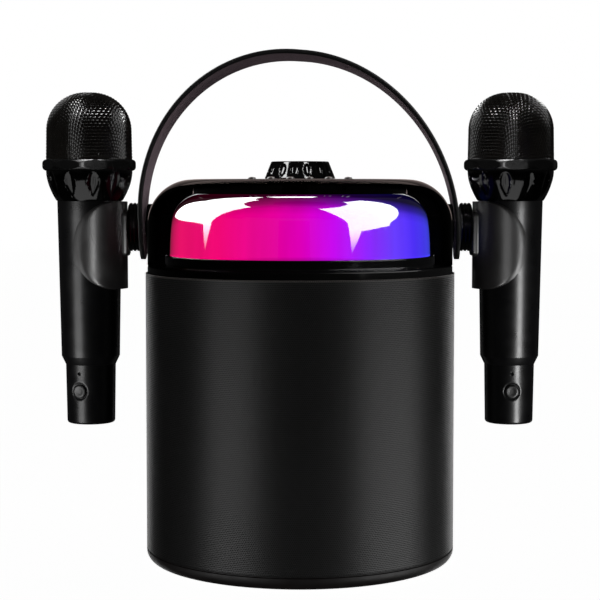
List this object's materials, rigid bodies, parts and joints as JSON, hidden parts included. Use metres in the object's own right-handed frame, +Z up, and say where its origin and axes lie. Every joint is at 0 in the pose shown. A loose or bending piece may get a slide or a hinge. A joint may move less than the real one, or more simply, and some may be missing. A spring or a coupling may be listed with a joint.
{
  "type": "karaoke speaker with wireless microphones",
  "caption": "Portable drum speaker with a lit dome, a swinging carry strap and wireless handheld microphones clipped at its sides.",
  "frame": {"origin": "on the surface that the feet stand on, below the middle of the drum", "axes": "+Z up, front towards -Y, +X towards the right-hand microphone as seen from the front"},
  "size_m": [0.3078, 0.185, 0.3059],
  "materials": {
    "base_plastic": "fine matte, moulded",
    "foot_rubber": "soft matt rubber",
    "screw_steel": "zinc plated",
    "cabinet_plastic": "plain moulded",
    "mesh_steel": "powder-coated fine mesh",
    "basket_steel": "stamped, painted",
    "magnet_steel": "ground ferrite",
    "surround_rubber": "smooth roll",
    "cone_paper": "pressed fibre",
    "cell_wrap": "shrink wrap",
    "circuit_board": "solder mask",
    "socket_steel": "nickel plated",
    "socket_plastic": "moulded nylon",
    "gloss_black": "polished black",
    "led_lens": "clear epoxy, emissive",
    "lamp_glow": "glowing from within, pink to violet, emissive",
    "smoked_clear": "smoked transparent, polished",
    "panel_black": "polished black",
    "knob_black": "polished, fluted",
    "key_black": "satin",
    "strap_leather": "black outside, warm grey lining",
    "clip_black": "satin",
    "mic_wire": "black woven wire",
    "mic_foam": "open-cell foam",
    "capsule_metal": "bare",
    "mic_black": "satin",
    "button_black": "satin"
  },
  "bodies": {
    "speaker": {"base_tray": "base_plastic", "rubber_feet": "foot_rubber", "base_screws": "screw_steel", "cabinet": "cabinet_plastic", "grille": "mesh_steel", "woofer_basket": "basket_steel", "woofer_magnet": "magnet_steel", "woofer_surround": "surround_rubber", "battery_cells": "cell_wrap", "main_board": "circuit_board", "port_panel": "base_plastic", "charge_socket": "socket_steel", "audio_socket": "socket_plastic", "light_deck": "gloss_black", "lamp_core": "cabinet_plastic", "led_ring": "circuit_board", "leds": "led_lens", "lamp_diffuser": "lamp_glow", "lamp_cover": "smoked_clear", "control_panel": "panel_black", "key_board": "circuit_board", "encoder": "socket_steel", "pivot_frame": "cabinet_plastic", "pivot_washers": "socket_plastic"},
    "woofer_cone": {"woofer_cone": "cone_paper", "dust_cap": "cone_paper"},
    "handle": {"handle_strap": "strap_leather"},
    "volume_knob": {"volume_knob": "knob_black", "encoder_shaft": "screw_steel"},
    "key_power": {"key_power": "key_black"},
    "key_mode": {"key_mode": "key_black"},
    "key_previous": {"key_previous": "key_black"},
    "key_play": {"key_play": "key_black"},
    "key_next": {"key_next": "key_black"},
    "key_light": {"key_light": "key_black"},
    "holder_left": {"holder_hub_left": "gloss_black", "mic_clip_left": "clip_black"},
    "mic_left": {"mic_grille_left": "mic_wire", "mic_foam_left": "mic_foam", "mic_ring_left": "gloss_black", "mic_collar_left": "gloss_black", "mic_capsule_left": "capsule_metal", "mic_body_left": "mic_black", "mic_tail_left": "mic_black", "mic_battery_left": "cell_wrap", "mic_board_left": "circuit_board"},
    "mic_button_left": {"mic_button_left": "button_black"},
    "holder_right": {"holder_hub_right": "gloss_black", "mic_clip_right": "clip_black"},
    "mic_right": {"mic_grille_right": "mic_wire", "mic_foam_right": "mic_foam", "mic_ring_right": "gloss_black", "mic_collar_right": "gloss_black", "mic_capsule_right": "capsule_metal", "mic_body_right": "mic_black", "mic_tail_right": "mic_black", "mic_battery_right": "cell_wrap", "mic_board_right": "circuit_board"},
    "mic_button_right": {"mic_button_right": "button_black"}
  },
  "joints": [
    {"name": "handle_hinge", "type": "hinge", "parent": "speaker", "child": "handle", "pos_m": [0, 0, 0.2004], "axis": [1, 0, 0], "range_deg": [-85, 95]},
    {"name": "cone_travel", "type": "slide", "parent": "speaker", "child": "woofer_cone", "axis": [0, -1, 0], "range_m": [-0.0015, 0.0015], "stiffness_N_per_m": 900},
    {"name": "knob_turn", "type": "hinge", "parent": "speaker", "child": "volume_knob", "pos_m": [0, 0, 0.2345], "axis": [0, 0, 1], "continuous": true},
    {"name": "power_key_press", "type": "slide", "parent": "speaker", "child": "key_power", "axis": [0, 0, -1], "range_m": [0, 0.0006], "stiffness_N_per_m": 350},
    {"name": "mode_key_press", "type": "slide", "parent": "speaker", "child": "key_mode", "axis": [0, 0, -1], "range_m": [0, 0.0006], "stiffness_N_per_m": 350},
    {"name": "previous_key_press", "type": "slide", "parent": "speaker", "child": "key_previous", "axis": [0, 0, -1], "range_m": [0, 0.0006], "stiffness_N_per_m": 350},
    {"name": "play_key_press", "type": "slide", "parent": "speaker", "child": "key_play", "axis": [0, 0, -1], "range_m": [0, 0.0006], "stiffness_N_per_m": 350},
    {"name": "next_key_press", "type": "slide", "parent": "speaker", "child": "key_next", "axis": [0, 0, -1], "range_m": [0, 0.0006], "stiffness_N_per_m": 350},
    {"name": "light_key_press", "type": "slide", "parent": "speaker", "child": "key_light", "axis": [0, 0, -1], "range_m": [0, 0.0006], "stiffness_N_per_m": 350},
    {"name": "holder_left_tilt", "type": "hinge", "parent": "speaker", "child": "holder_left", "pos_m": [-0.099, 0, 0.2004], "axis": [1, 0, 0], "range_deg": [-45, 45]},
    {"name": "mic_left_lift", "type": "slide", "parent": "holder_left", "child": "mic_left", "axis": [0, 0, 1], "range_m": [0, 0.14]},
    {"name": "holder_right_tilt", "type": "hinge", "parent": "speaker", "child": "holder_right", "pos_m": [0.099, 0, 0.2004], "axis": [1, 0, 0], "range_deg": [-45, 45]},
    {"name": "mic_right_lift", "type": "slide", "parent": "holder_right", "child": "mic_right", "axis": [0, 0, 1], "range_m": [0, 0.14]},
    {"name": "mic_left_button_press", "type": "slide", "parent": "mic_left", "child": "mic_button_left", "axis": [0.3665, 0.9304, 0], "range_m": [0, 0.0005], "stiffness_N_per_m": 350},
    {"name": "mic_right_button_press", "type": "slide", "parent": "mic_right", "child": "mic_button_right", "axis": [0, 1, 0], "range_m": [0, 0.0005], "stiffness_N_per_m": 350}
  ]
}
